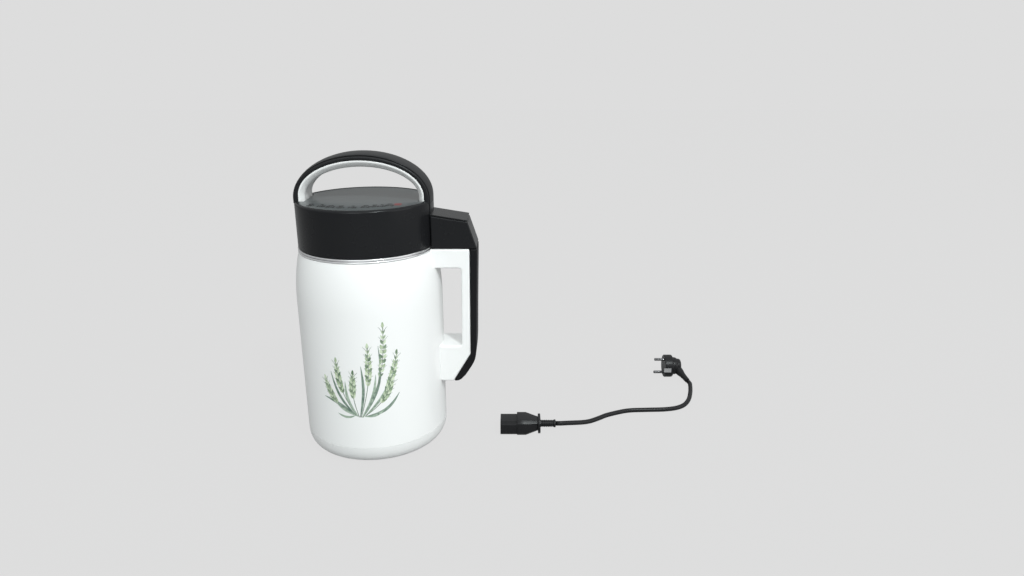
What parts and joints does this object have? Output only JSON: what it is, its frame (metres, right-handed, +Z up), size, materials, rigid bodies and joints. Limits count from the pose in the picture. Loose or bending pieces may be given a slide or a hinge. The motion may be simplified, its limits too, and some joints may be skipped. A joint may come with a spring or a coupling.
{
  "type": "soy milk maker",
  "caption": "White double-walled jug with a side handle, under a black lift-off motor head with a carrying arch, a blade on a long shaft and a detachable mains cord.",
  "frame": {"origin": "on the jug's upright axis at table height, below the middle of the base cover's flat underside", "axes": "+Z up along the jug's axis, +X towards the side handle, -Y towards the front that the picture shows"},
  "size_m": [0.4822, 0.2448, 0.3305],
  "materials": {
    "aluminium": "cast and drawn aluminium",
    "black_gloss": "glossy black plastic",
    "board_green": "circuit board laminate",
    "brass": "brass contact",
    "chrome": "bright plated ring",
    "copper": "wound enamelled copper",
    "cord_black": "moulded black cable compound",
    "foot_rubber": "black rubber",
    "inner_plastic": "black inner plastic",
    "iron": "bare iron and carbon",
    "panel_glass": "dark grey glossy panel",
    "silicone": "grey silicone seal",
    "steel": "stainless steel",
    "white_base": "glossy white plastic",
    "white_lining": "white plastic",
    "white_shell": "glossy white plastic"
  },
  "bodies": {
    "jug": {"base_cover": "white_base", "base_screw_1": "iron", "base_screw_2": "iron", "base_screw_3": "iron", "chassis": "inner_plastic", "connector_body": "cord_black", "cord": "cord_black", "coupler_socket": "inner_plastic", "earth_clip": "steel", "foot_1": "foot_rubber", "foot_2": "foot_rubber", "foot_3": "foot_rubber", "grip_cover": "black_gloss", "handle_lead": "cord_black", "heater_element": "steel", "heater_plate": "aluminium", "inlet_housing": "inner_plastic", "inlet_pin_earth": "brass", "inlet_pin_line": "brass", "inlet_pin_neutral": "brass", "inner_cup": "steel", "jug_shell": "white_shell", "plug_body": "cord_black", "plug_pin_1": "steel", "plug_pin_2": "steel", "rim_ring": "chrome", "side_handle": "white_shell", "thermostat": "inner_plastic"},
    "head": {"head_shell": "black_gloss", "top_panel": "panel_glass", "touch_board": "board_green", "carry_shell": "black_gloss", "carry_lining": "white_lining", "head_floor": "inner_plastic", "lower_cover": "steel", "head_seal": "silicone", "level_probe": "steel", "heat_probe": "steel", "coupler_plug": "inner_plastic", "coupler_pin_1": "brass", "coupler_pin_2": "brass", "coupler_pin_3": "brass", "control_board": "board_green", "transformer": "inner_plastic", "motor_bell_lower": "aluminium", "motor_bell_upper": "aluminium", "stator_core": "iron", "field_winding": "copper", "bearing_lower": "steel", "bearing_upper": "steel", "brush_1": "iron", "brush_2": "iron", "shaft_sleeve": "steel", "shaft_bush": "brass"},
    "rotor": {"motor_shaft": "steel", "armature": "copper", "commutator": "copper", "cooling_fan": "inner_plastic", "blade": "steel", "blade_nut": "steel"}
  },
  "joints": [
    {"name": "head_lift", "type": "slide", "parent": "jug", "child": "head", "axis": [0, 0, 1], "range_m": [0, 0.19]},
    {"name": "blade_spin", "type": "hinge", "parent": "head", "child": "rotor", "pos_m": [0, 0, 0.2], "axis": [0, 0, 1], "continuous": true}
  ]
}
